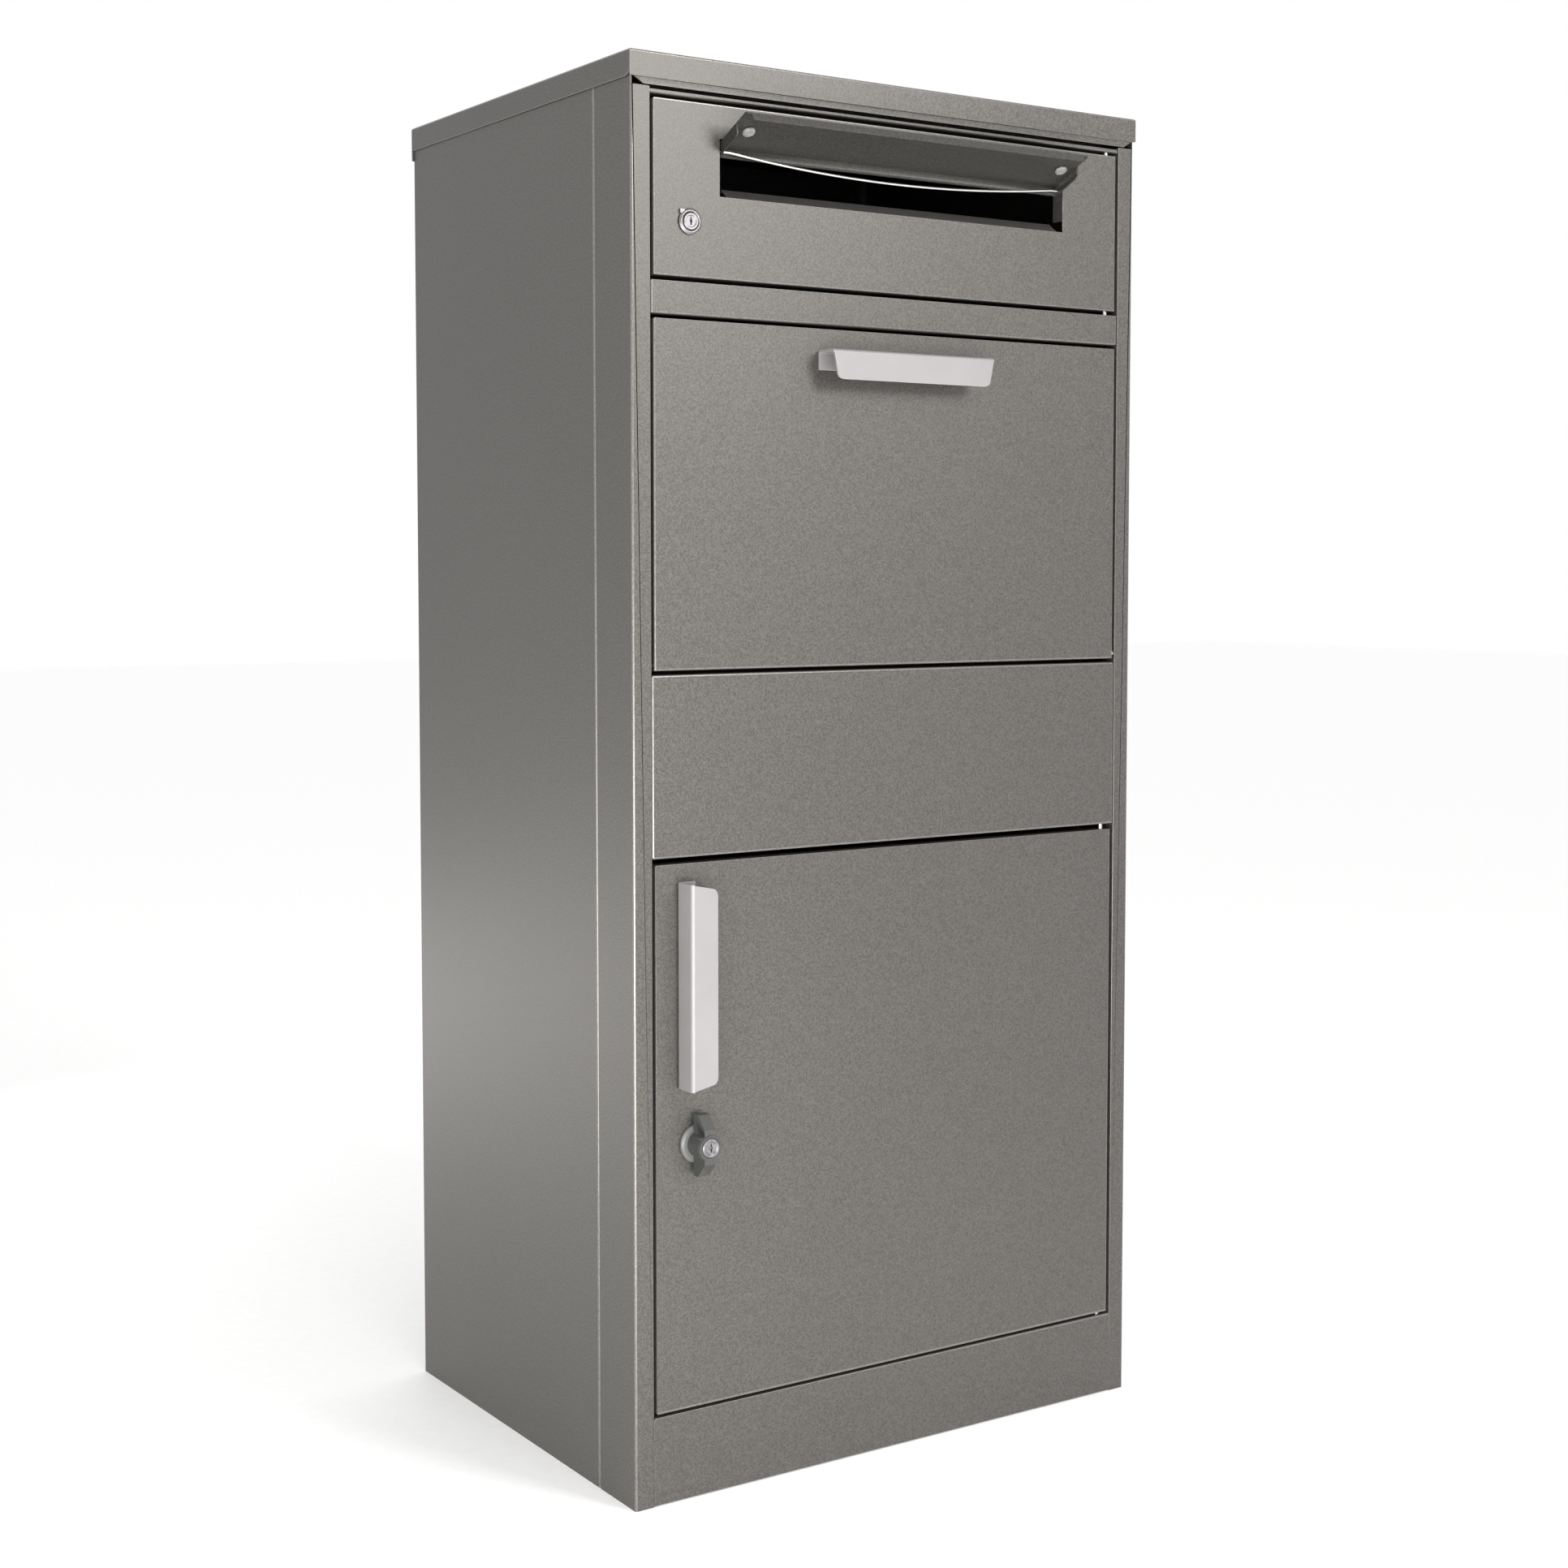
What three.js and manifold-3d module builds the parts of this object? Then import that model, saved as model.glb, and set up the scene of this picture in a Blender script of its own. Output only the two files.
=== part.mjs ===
// Parcel drop box: a free-standing folded-sheet cabinet with a letter door and slot,
// a tilting parcel hopper and a locked retrieval door. Millimetres, +Z up.
// Origin: floor level, centre of the footprint. The front faces -Y.
import * as THREE from 'three';
import { mergeVertices } from 'three/addons/utils/BufferGeometryUtils.js';
import Module from 'manifold-3d';

const wasm = await Module();
wasm.setup();

// ---- driving dimensions ----
const width = 455;
const depth = 348;
const height = 1016;
const sheet = 1.2;
const gap = 0.3;

const left = -width / 2;
const right = width / 2;
const front = -depth / 2;
const back = depth / 2;

const cap = { over: 1.5, rim: 18, backRim: 26, lip: 20, lipStart: 3.5, hem: 4.6, hemInset: 1, hemSlope: 8 };
const post = { face: 15, side: 52, reach: 13, rearLip: 11, frontTop: 992.6 };
const doorFold = 13;
const doorHalf = 210;
const panelHalf = width / 2 - post.face - gap;

const topRail = { z0: 988.2, frontTop: 991, z1: 997.5, recess: 0.6, fold: 20 };
const letterDoor = { z0: 865.2, z1: 985.5 };
const upperRail = { z0: 838.7, z1: 861.8 };
const parcelDoor = { z0: 592.2, z1: 835.9 };
const middlePanel = { z0: 461, z1: 589.5 };
const retrievalDoor = { z0: 66.2, z1: 456.6 };
const plinth = { z0: 1, z1: 63.9 };
const shelf = { top: 858.2, fold: 15, rearInset: 8 };
const baffle = { y: 62, z0: 640, half: 222, fold: 15, hem: 8, screwX: 150, screwInset: 8 };
const sidePanelFold = 21;
const basePan = { upstand: 20, anchorRadius: 6, anchorX: 160, anchorY: 110 };

const slot = { half: 156, z0: 922.5, z1: 962.3, jamb: 12, rampRun: 9, rampRise: 6.5 };
const flap = {
  half: 154.4, length: 44, raise: 25, stand: 6.2, tail: 4,
  lip: 6, rear: 8.5, ear: 27, bumperRadius: 5, bumperHeight: 2.4,
  bumperAlong: 25, bumperInset: 13,
};
const wire = { radius: 1, y: front + 2.6, z: 953.9, bow: 8.8, straight: 10, end: 161 };

const pin = {
  radius: 2, clearance: 0.3, headRadius: 2.8, head: 1.7, doorX: doorHalf - 6.9, doorY: front + 4.8,
};
const hopper = {
  y: front + 4, z: 596.5, radius: 236, cheekX: 198, stopLip: 215, stopAngle: 40, stopOffset: 10.7,
  trayRun: 150, trayStart: -2.5, trayStrip: 30, trayFold: 15, trayFlat: 9, cheekHeel: 60, stopFoldStart: 75,
  doorTab: 14,
};
const pull = {
  length: 146, back: 14.1, reach: 20.3, face: 21.5, wall: 2,
  slant: 3.5, corner: 5.5, cornerRise: 5, screwSpread: 55,
};
const parcelPull = { top: 820.3 };
const retrievalPull = { left: left + 34.8, top: 443.9 };
const letterLock = { x: left + 46.5, z: 903.2, flange: 9, barrel: 8, plug: 6, camReach: 36 };
const latch = {
  x: left + 50.3, z: 257, rose: 14, barrel: 10, spindle: 4, key: 7, camReach: 40,
  wing: 22, wingHalf: 4.6, shoulder: 12, boss: 9.5, collar: 8.8, collarProud: 0.8, tipFace: 6, tipBreak: 1.5,
};
const camPlane = { y0: front + 13.4, y1: front + 15 };

// ---- finishes ----
const paint = (color, roughness, metalness) => new THREE.MeshStandardMaterial({ color, roughness, metalness });
const greyCoat = () => paint(0x7f7c77, 0.5, 0.35);
const darkCoat = () => paint(0x6f6c67, 0.5, 0.35);
const whiteCoat = () => paint(0xe2dcdd, 0.4, 0.0);
const brightSteel = () => paint(0xc9c9cb, 0.2, 1.0);
const softPad = () => paint(0xb8b5b0, 0.6, 0.0);

// ---- solids: three.js shapes joined and cut as closed bodies ----
// Vertices are set on a fine grid, so that faces meant to be flush are exactly flush.
const gridPerMm = 512;

function solidOf(geometry) {
  const plain = geometry.index ? geometry.toNonIndexed() : geometry.clone();
  plain.deleteAttribute('normal');
  plain.deleteAttribute('uv');
  const points = plain.attributes.position.array;
  points.forEach((value, i) => { points[i] = Math.round(value * gridPerMm) / gridPerMm; });
  const merged = mergeVertices(plain, 1e-4);
  return new wasm.Manifold(new wasm.Mesh({
    numProp: 3,
    vertProperties: new Float32Array(merged.attributes.position.array),
    triVerts: new Uint32Array(merged.index.array),
  }));
}

function geometryOf(solid) {
  const mesh = solid.getMesh();
  const geometry = new THREE.BufferGeometry();
  geometry.setAttribute('position', new THREE.BufferAttribute(new Float32Array(mesh.vertProperties), 3));
  geometry.setIndex(new THREE.BufferAttribute(new Uint32Array(mesh.triVerts), 1));
  geometry.computeVertexNormals();
  return geometry;
}

// Joins and cuts settle vertices that fall closer together than this.
const settle = 0.004;
const join = (solids) => solids.reduce((sum, item) => sum.add(item)).simplify(settle);
const cutAway = (solid, tools) => tools.reduce((rest, tool) => rest.subtract(tool), solid).simplify(settle);

function slab(x0, x1, y0, y1, z0, z1) {
  const geometry = new THREE.BoxGeometry(x1 - x0, y1 - y0, z1 - z0);
  geometry.translate((x0 + x1) / 2, (y0 + y1) / 2, (z0 + z1) / 2);
  return solidOf(geometry);
}

// A round bar along 'x', 'y' or 'z' between two stations, centred on the other two coordinates.
function bar(axis, a, b, radius, from, to, sides = 24) {
  const geometry = new THREE.CylinderGeometry(radius, radius, to - from, sides);
  const middle = (from + to) / 2;
  if (axis === 'x') {
    geometry.rotateZ(Math.PI / 2);
    geometry.translate(middle, a, b);
  } else if (axis === 'y') {
    geometry.translate(a, middle, b);
  } else {
    geometry.rotateX(Math.PI / 2);
    geometry.translate(a, b, middle);
  }
  return solidOf(geometry);
}

// A flat outline given as [y, z] points, given a thickness along X.
function sidePlate(points, x0, x1) {
  const shape = new THREE.Shape(points.map(([y, z]) => new THREE.Vector2(y, z)));
  const geometry = new THREE.ExtrudeGeometry(shape, { depth: x1 - x0, bevelEnabled: false });
  geometry.applyMatrix4(new THREE.Matrix4().set(0, 0, 1, x0, 1, 0, 0, 0, 0, 1, 0, 0, 0, 0, 0, 1));
  return solidOf(geometry);
}

// A flat outline given as [x, z] points, given a thickness along Y.
function facePlate(points, y0, y1) {
  const shape = new THREE.Shape(points.map(([x, z]) => new THREE.Vector2(x, z)));
  const geometry = new THREE.ExtrudeGeometry(shape, { depth: y1 - y0, bevelEnabled: false });
  geometry.applyMatrix4(new THREE.Matrix4().set(1, 0, 0, 0, 0, 0, -1, y1, 0, 1, 0, 0, 0, 0, 0, 1));
  return solidOf(geometry);
}

// A flat outline given as [x, y] points, given a thickness along Z.
function floorPlate(points, z0, z1) {
  const shape = new THREE.Shape(points.map(([x, y]) => new THREE.Vector2(x, y)));
  const geometry = new THREE.ExtrudeGeometry(shape, { depth: z1 - z0, bevelEnabled: false });
  geometry.translate(0, 0, z0);
  return solidOf(geometry);
}

const group = new THREE.Group();

function addPart(name, solid, material) {
  const part = new THREE.Mesh(geometryOf(solid), material);
  part.name = name;
  group.add(part);
}

// A shallow tray of sheet, open at the back: a front skin with folds on all four sides.
function foldedTray(half, z0, z1, y0, fold) {
  const block = slab(-half, half, y0, y0 + fold, z0, z1);
  const hollow = slab(-half + sheet, half - sheet, y0 + sheet, y0 + fold + 1, z0 + sheet, z1 - sheet);
  return block.subtract(hollow);
}

const pinHole = (z0, z1) => bar('z', pin.doorX, pin.doorY, pin.radius + pin.clearance, z0, z1, 20);

// ---- carcass ----
function topCap() {
  const x = right + cap.over;
  const y = back + cap.over;
  const under = height - sheet;
  const rimEnd = height - cap.rim;
  const lipBack = -y + cap.lip;
  const lipHalf = x - cap.lipStart;
  const lip = floorPlate([
    [-lipHalf, -y + 0.2],
    [lipHalf, -y + 0.2],
    [lipHalf, -y + sheet],
    [lipHalf - cap.lip + sheet, lipBack],
    [-lipHalf + cap.lip - sheet, lipBack],
    [-lipHalf, -y + sheet],
  ], rimEnd, rimEnd + sheet);
  const hemFront = -y + cap.hemInset;
  const hem = facePlate([
    [-lipHalf, rimEnd + sheet / 2],
    [-lipHalf, rimEnd],
    [-lipHalf + cap.hemSlope, rimEnd - cap.hem],
    [lipHalf - cap.hemSlope, rimEnd - cap.hem],
    [lipHalf, rimEnd],
    [lipHalf, rimEnd + sheet / 2],
  ], hemFront, hemFront + sheet);
  return join([
    slab(-x, x, -y, y, under, height),
    slab(-x, x, -y, -y + sheet, rimEnd, height),
    slab(-x, x, y - sheet, y, height - cap.backRim, height),
    slab(-x, -x + sheet, -y, y, rimEnd, height),
    slab(x - sheet, x, -y, y, rimEnd, height),
    lip,
    hem,
  ]);
}

function frontPost(side) {
  const outer = left;
  const faceEnd = left + post.face;
  const rear = front + post.side;
  const top = height - sheet - gap;
  const folded = join([
    slab(outer, outer + sheet, front, rear, 0, top),
    slab(outer, faceEnd, front, front + sheet, 0, post.frontTop),
    slab(faceEnd - sheet, faceEnd, front, front + post.reach, sheet + gap, post.frontTop),
    slab(outer, outer + post.rearLip, rear - sheet, rear, sheet + gap, top),
  ]);
  const pivot = bar('x', hopper.y, hopper.z, pin.radius + pin.clearance, faceEnd - 4, faceEnd + 2);
  const solid = cutAway(folded, [pivot]);
  return side > 0 ? solid.mirror([1, 0, 0]) : solid;
}

function sidePanel(side) {
  const seam = front + post.side + gap;
  const top = height - sheet - gap;
  const rearFold = back - sheet - gap;
  const folded = join([
    slab(left, left + sheet, seam, back, 0, top),
    slab(left, left + post.rearLip, seam, seam + sheet, sheet + gap, top),
    slab(left, left + sidePanelFold, rearFold - sheet, rearFold, sheet + gap, top),
  ]);
  return side > 0 ? folded.mirror([1, 0, 0]) : folded;
}

function backPanel() {
  const half = width / 2 - sheet - gap;
  return slab(-half, half, back - sheet, back, 0, height - sheet - gap);
}

function basePlate() {
  const half = width / 2 - sheet - gap;
  const y0 = front + sheet + gap;
  const y1 = back - sheet - gap;
  const innerHalf = width / 2 - sidePanelFold - gap;
  const sideStart = front + post.side + gap + sheet + gap;
  const holes = [-1, 1].flatMap((sx) => [-1, 1].map((sy) => (
    bar('z', sx * basePan.anchorX, sy * basePan.anchorY, basePan.anchorRadius, -1, sheet + 1)
  )));
  return cutAway(join([
    slab(-half, half, y0, y1, 0, sheet),
    slab(-panelHalf, panelHalf, y0, y0 + sheet, 0, basePan.upstand),
    slab(-innerHalf, innerHalf, y1 - sheet, y1, 0, basePan.upstand),
    slab(-half, -half + sheet, sideStart, y1 - sheet - gap, 0, basePan.upstand),
    slab(half - sheet, half, sideStart, y1 - sheet - gap, 0, basePan.upstand),
  ]), holes);
}

function topRailChannel() {
  const y0 = front + topRail.recess;
  const y1 = y0 + topRail.fold;
  return cutAway(join([
    slab(-panelHalf, panelHalf, y0, y0 + sheet, topRail.z0, topRail.frontTop),
    slab(-panelHalf, panelHalf, y0, y1, topRail.z0, topRail.z0 + sheet),
    slab(-panelHalf, panelHalf, y1 - sheet, y1, topRail.z0, topRail.z1),
  ]), [pinHole(topRail.z0 - 1, topRail.z0 + 3)]);
}

const upperRailTray = () => cutAway(
  foldedTray(panelHalf, upperRail.z0, upperRail.z1, front, post.reach),
  [pinHole(upperRail.z1 - 3, upperRail.z1 + 1)],
);

const middleTray = () => cutAway(
  foldedTray(panelHalf, middlePanel.z0, middlePanel.z1, front, post.reach),
  [pinHole(middlePanel.z0 - 1, middlePanel.z0 + 3)],
);

function plinthTray() {
  const y1 = front + post.reach;
  return cutAway(join([
    slab(-panelHalf, panelHalf, front, front + sheet, plinth.z0, plinth.z1),
    slab(-panelHalf, panelHalf, front, y1, plinth.z1 - sheet, plinth.z1),
    slab(-panelHalf, -panelHalf + sheet, front, y1, basePan.upstand + gap, plinth.z1),
    slab(panelHalf - sheet, panelHalf, front, y1, basePan.upstand + gap, plinth.z1),
  ]), [pinHole(plinth.z1 - 3, plinth.z1 + 1)]);
}

const baffleScrewY = baffle.y + baffle.screwInset;
const baffleScrewHole = (side) => bar(
  'z', side * baffle.screwX, baffleScrewY, pin.radius + pin.clearance, shelf.top - 6, shelf.top + 1,
);

function letterShelf() {
  const half = width / 2 - sheet - gap;
  const seam = front + post.side;
  const y1 = back - 2 * sheet - 2 * gap;
  const notchIn = width / 2 - post.rearLip - gap;
  const notches = [[-half - 1, -notchIn], [notchIn, half + 1]].map(([x0, x1]) => slab(
    x0, x1, seam - sheet - gap, seam + gap + sheet + gap, shelf.top - 5, shelf.top + 5,
  ));
  const frontCorner = front + post.reach + gap;
  const foldStart = seam + 3 * gap + sheet;
  return cutAway(join([
    slab(-half, half, frontCorner, y1, shelf.top - sheet, shelf.top),
    slab(-half, -half + sheet, foldStart, y1, shelf.top - shelf.fold, shelf.top),
    slab(half - sheet, half, foldStart, y1, shelf.top - shelf.fold, shelf.top),
    slab(
      -panelHalf + shelf.rearInset, panelHalf - shelf.rearInset, y1 - sheet, y1,
      shelf.top - shelf.fold, shelf.top,
    ),
  ]), [...notches, baffleScrewHole(-1), baffleScrewHole(1)]);
}

function chuteBaffle() {
  const under = shelf.top - sheet - gap;
  return cutAway(join([
    slab(-baffle.half, baffle.half, baffle.y, baffle.y + sheet, baffle.z0, under),
    slab(-baffle.half, baffle.half, baffle.y, baffle.y + baffle.fold, under - sheet, under),
    slab(-baffle.half, baffle.half, baffle.y, baffle.y + baffle.hem, baffle.z0, baffle.z0 + sheet),
  ]), [baffleScrewHole(-1), baffleScrewHole(1)]);
}

function baffleScrew(side) {
  const x = side * baffle.screwX;
  const headTop = shelf.top - 2 * sheet - 2 * gap;
  return join([
    bar('z', x, baffleScrewY, 3.6, headTop - 2, headTop, 6),
    bar('z', x, baffleScrewY, pin.radius, headTop - 1, shelf.top + 3),
  ]);
}

// ---- hinge pins: a round pin with a rivet head on the fixed side ----
function doorPin(z0, z1, headZ0) {
  return join([
    bar('z', pin.doorX, pin.doorY, pin.radius, z0, z1),
    bar('z', pin.doorX, pin.doorY, pin.headRadius, headZ0, headZ0 + pin.head),
  ]);
}

function hopperPin(side) {
  const wall = width / 2 - post.face + sheet;
  const solid = join([
    bar('x', hopper.y, hopper.z, pin.radius, doorHalf - 5, wall + gap + pin.head),
    bar('x', hopper.y, hopper.z, pin.headRadius, wall + gap, wall + gap + pin.head),
  ]);
  return side < 0 ? solid.mirror([1, 0, 0]) : solid;
}

// ---- letter door, its lock and its slot ----
function letterDoorTray() {
  const jambTop = slot.z1 - 0.2;
  const jambBottom = slot.z0 + slot.rampRise + 2;
  const slope = Math.hypot(slot.rampRun, slot.rampRise);
  const drop = sheet * slope / slot.rampRun;
  const rampEnd = [front + slot.rampRun, slot.z0 + slot.rampRise];
  const ramp = sidePlate([
    [front + 0.05, slot.z0],
    [rampEnd[0], rampEnd[1]],
    [rampEnd[0], rampEnd[1] - drop],
    [front + 0.05, slot.z0 - drop],
  ], -slot.half + 6, slot.half - 6);
  const opening = slab(-slot.half, slot.half, front - 1, front + sheet + 1, slot.z0, slot.z1);
  const rodHole = bar('x', wire.y, wire.z, wire.radius + 0.3, -slot.half - 4, slot.half + 4, 16);
  const jambs = [-1, 1].map((side) => slab(
    side > 0 ? slot.half : -slot.half - sheet, side > 0 ? slot.half + sheet : -slot.half,
    front, front + slot.jamb, jambBottom, jambTop,
  ));
  const tray = cutAway(foldedTray(doorHalf, letterDoor.z0, letterDoor.z1, front, doorFold), [opening]);
  return cutAway(join([tray, ramp, ...jambs]), [
    rodHole,
    bar('y', letterLock.x, letterLock.z, letterLock.barrel + gap, front - 1, front + 3),
    pinHole(letterDoor.z0 - 1, letterDoor.z0 + 3),
    pinHole(letterDoor.z1 - 3, letterDoor.z1 + 1),
  ]);
}

function letterLockHousing() {
  const { x, z } = letterLock;
  return cutAway(join([
    bar('y', x, z, letterLock.flange, front - gap - 2, front - gap, 32),
    bar('y', x, z, letterLock.barrel, front - gap - 1, front + 12, 32),
  ]), [bar('y', x, z, letterLock.plug + gap, front - 4, front + 13, 32)]);
}

function lockNut(x, z, inner, outer, y0) {
  return cutAway(bar('y', x, z, outer, y0, y0 + 4, 6), [bar('y', x, z, inner + gap, y0 - 1, y0 + 5, 32)]);
}

function letterLockPlug() {
  const { x, z } = letterLock;
  const keySlot = slab(x - 0.6, x + 0.6, front - 4, front - 0.5, z - 2.6, z + 2.6);
  return cutAway(bar('y', x, z, letterLock.plug, front - 2.8, camPlane.y0 - gap, 32), [
    keySlot,
    bar('y', x, z, 1.8, camPlane.y0 - 6, camPlane.y0 + 1, 16),
  ]);
}

// A cam plate hanging straight down from its lock, rounded about the lock's axis.
function camPlate(x, z, reach, half) {
  const steps = 8;
  const crown = Array.from({ length: steps + 1 }, (_, i) => {
    const angle = Math.PI * i / steps;
    return [x + half * Math.cos(angle), z + half * Math.sin(angle)];
  });
  const outline = [...crown, [x - half, z - reach + 3], [x - half + 3, z - reach], [x + half - 3, z - reach],
    [x + half, z - reach + 3]];
  return cutAway(facePlate(outline, camPlane.y0, camPlane.y1), [
    bar('y', x, z, 1.8, camPlane.y0 - 1, camPlane.y1 + 1, 16),
  ]);
}

function camScrew(x, z, y0) {
  return join([
    bar('y', x, z, 1.5, y0, camPlane.y1 + gap + 1, 16),
    bar('y', x, z, 3.4, camPlane.y1 + gap, camPlane.y1 + gap + 2.2, 16),
  ]);
}

// The slot's hinge wire: straight where it bears, bowed downwards between.
function hingeWire() {
  const bowHalf = slot.half - wire.straight;
  const bearing = [wire.end, wire.end - 4, slot.half - 4, bowHalf + 2];
  const bowSteps = 14;
  const bow = Array.from({ length: bowSteps + 1 }, (_, i) => {
    const t = -1 + 2 * i / bowSteps;
    return new THREE.Vector3(t * bowHalf, wire.y, wire.z - wire.bow * (1 - t * t));
  });
  const straightEnd = (side) => bearing.map((x) => new THREE.Vector3(side * x, wire.y, wire.z));
  const points = [...straightEnd(-1), ...bow, ...straightEnd(1).reverse()];
  const section = new THREE.Shape();
  section.absarc(0, 0, wire.radius, 0, Math.PI * 2);
  const geometry = new THREE.ExtrudeGeometry(section, {
    steps: 48, curveSegments: 5, bevelEnabled: false,
    extrudePath: new THREE.CatmullRomCurve3(points, false, 'centripetal'),
  });
  return solidOf(geometry);
}

// Flap shapes are drawn along the raised plate (s) and square to it (n), from the wire's axis.
const raise = THREE.MathUtils.degToRad(flap.raise);
const flapPoint = (s, n) => [
  wire.y - s * Math.cos(raise) + n * Math.sin(raise),
  wire.z + s * Math.sin(raise) + n * Math.cos(raise),
];
const flapBox = (s0, s1, n0, n1, x0, x1) => sidePlate([
  flapPoint(s0, n0), flapPoint(s0, n1), flapPoint(s1, n1), flapPoint(s1, n0),
], x0, x1);

function letterFlap() {
  const start = -flap.tail;
  const end = flap.length - flap.tail;
  const top = flap.stand;
  const x = flap.half;
  const ears = [[-x, -x + sheet], [x - sheet, x]].map(([x0, x1]) => sidePlate([
    flapPoint(start, top - flap.rear), flapPoint(start, top), flapPoint(flap.ear, top),
    flapPoint(flap.ear - 3, top - flap.rear + 1), flapPoint(flap.ear - 7, top - flap.rear),
  ], x0, x1));
  const plate = flapBox(start, end, top - sheet, top, -x, x);
  const rear = flapBox(start, start + sheet, top - flap.rear, top, -x, x);
  const lip = flapBox(end - sheet, end, top - flap.lip, top, -x + 5, x - 5);
  const bearing = bar('x', wire.y, wire.z, wire.radius + 0.3, -x - 1, x + 1, 16);
  return cutAway(join([plate, rear, lip, ...ears]), [bearing]);
}

function flapBumper(side) {
  const geometry = new THREE.CylinderGeometry(flap.bumperRadius, flap.bumperRadius * 0.9, flap.bumperHeight, 20);
  const [y, z] = flapPoint(
    flap.bumperAlong - flap.tail, flap.stand - sheet - gap - flap.bumperHeight / 2,
  );
  geometry.rotateX(Math.PI / 2 - raise);
  geometry.translate(side * (flap.half - flap.bumperInset), y, z);
  return solidOf(geometry);
}

// ---- parcel hopper: the door, two cheeks and a tray that tilt as one ----
function parcelDoorTray() {
  const bores = [-1, 1].map((side) => bar(
    'x', hopper.y, hopper.z, pin.radius + pin.clearance, side * doorHalf - 3, side * doorHalf + 3,
  ));
  const screwZ = parcelPull.top - pull.back / 2;
  const screws = [-1, 1].map((side) => bar('y', side * pull.screwSpread, screwZ, 2.3, front - 1, front + 3, 16));
  return cutAway(foldedTray(doorHalf, parcelDoor.z0, parcelDoor.z1, front, doorFold), [...bores, ...screws]);
}

const hopperPoint = (y, z) => [hopper.y + y, hopper.z + z];

function trayLine() {
  const startY = doorFold + gap + 0.8 - (hopper.y - front);
  const bendY = startY + hopper.trayFlat;
  return { startY, bendY, tipY: bendY + hopper.trayRun, tipZ: hopper.trayStart - hopper.trayRun };
}

function hopperCheek(side) {
  const { startY, bendY, tipY, tipZ } = trayLine();
  const faceY = sheet + gap - (hopper.y - front);
  const stop = THREE.MathUtils.degToRad(hopper.stopAngle);
  const along = (s) => [
    s * Math.cos(stop) + hopper.stopOffset * Math.sin(stop),
    s * Math.sin(stop) - hopper.stopOffset * Math.cos(stop),
  ];
  const reach = Math.sqrt(hopper.radius ** 2 - hopper.stopOffset ** 2);
  const last = Math.atan2(along(reach)[1], along(reach)[0]);
  const first = Math.acos(faceY / hopper.radius);
  const steps = 12;
  const arc = Array.from({ length: steps + 1 }, (_, i) => {
    const angle = first + (last - first) * i / steps;
    return [hopper.radius * Math.cos(angle), hopper.radius * Math.sin(angle)];
  });
  const strip = hopper.trayStrip * Math.SQRT1_2;
  const outline = [
    [faceY, hopper.trayStart], ...arc, along(hopper.cheekHeel), [tipY + strip, tipZ + strip], [tipY, tipZ],
    [bendY, hopper.trayStart], [startY, hopper.trayStart],
  ].map(([y, z]) => hopperPoint(y, z));
  const x0 = hopper.cheekX;
  const sheetPlate = sidePlate(outline, x0, x0 + sheet);
  const [sy, sz] = along(hopper.stopFoldStart);
  const [ey, ez] = along(reach - 1);
  const ny = -Math.sin(stop) * sheet;
  const nz = Math.cos(stop) * sheet;
  const stopFold = sidePlate([
    hopperPoint(sy, sz), hopperPoint(ey, ez), hopperPoint(ey + ny, ez + nz), hopperPoint(sy + ny, sz + nz),
  ], x0, hopper.stopLip);
  const doorFoldPlate = slab(
    x0 - hopper.doorTab, x0 + sheet, front + sheet + gap, front + 2 * sheet + gap,
    hopper.z + 6, hopper.z + hopper.radius - 12,
  );
  const solid = join([sheetPlate, stopFold, doorFoldPlate]);
  return side < 0 ? solid.mirror([1, 0, 0]) : solid;
}

function hopperTray() {
  const { startY, bendY, tipY, tipZ } = trayLine();
  const half = hopper.cheekX - gap;
  const z = hopper.trayStart;
  const lift = sheet * Math.SQRT2;
  const skin = sidePlate([
    [startY, z], [bendY, z], [tipY, tipZ], [tipY + lift / 2, tipZ + lift / 2],
    [bendY + sheet * 0.41, z + sheet], [startY, z + sheet],
  ].map(([y, h]) => hopperPoint(y, h)), -half, half);
  const fold = hopper.trayFold * Math.SQRT1_2;
  const folds = [[-half, -half + sheet], [half - sheet, half]].map(([x0, x1]) => sidePlate([
    [bendY, z], [tipY, tipZ], [tipY + fold, tipZ + fold], [bendY + fold, z + fold],
  ].map(([y, h]) => hopperPoint(y, h)), x0, x1));
  return join([skin, ...folds]);
}

// A bent pull: a leg on the door, a web standing out and a slanted face that turns back over the leg.
// Drawn lying along X with its web on top; the leg is against the door.
function barPull() {
  const halfLength = pull.length / 2;
  const y = -gap;
  const reachY = y - pull.reach;
  const slantEnd = halfLength - pull.slant;
  const cornerTop = -pull.face + pull.cornerRise;
  const face = facePlate([
    [-halfLength, 0], [halfLength, 0],
    [slantEnd, cornerTop], [slantEnd - pull.corner, -pull.face],
    [-slantEnd + pull.corner, -pull.face], [-slantEnd, cornerTop],
  ], reachY, reachY + pull.wall);
  const solid = join([
    slab(-halfLength, halfLength, y - pull.wall, y, -pull.back, 0),
    slab(-halfLength, halfLength, reachY, y, -pull.wall, 0),
    face,
  ]);
  const holes = [-1, 1].map((side) => bar(
    'y', side * pull.screwSpread, -pull.back / 2, 2.3, y - pull.wall - 1, y + 1, 16,
  ));
  return cutAway(solid, holes);
}

const parcelPullSolid = () => barPull().translate([0, front, parcelPull.top]);
const retrievalPullSolid = () => barPull().rotate([0, -90, 0])
  .translate([retrievalPull.left, front, retrievalPull.top - pull.length / 2]);

function pullScrew(x, z) {
  const inside = front + sheet + gap;
  return join([
    bar('y', x, z, 2, front - gap - pull.wall, inside + 1, 16),
    bar('y', x, z, 4, inside, inside + 2.4, 16),
  ]);
}

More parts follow.
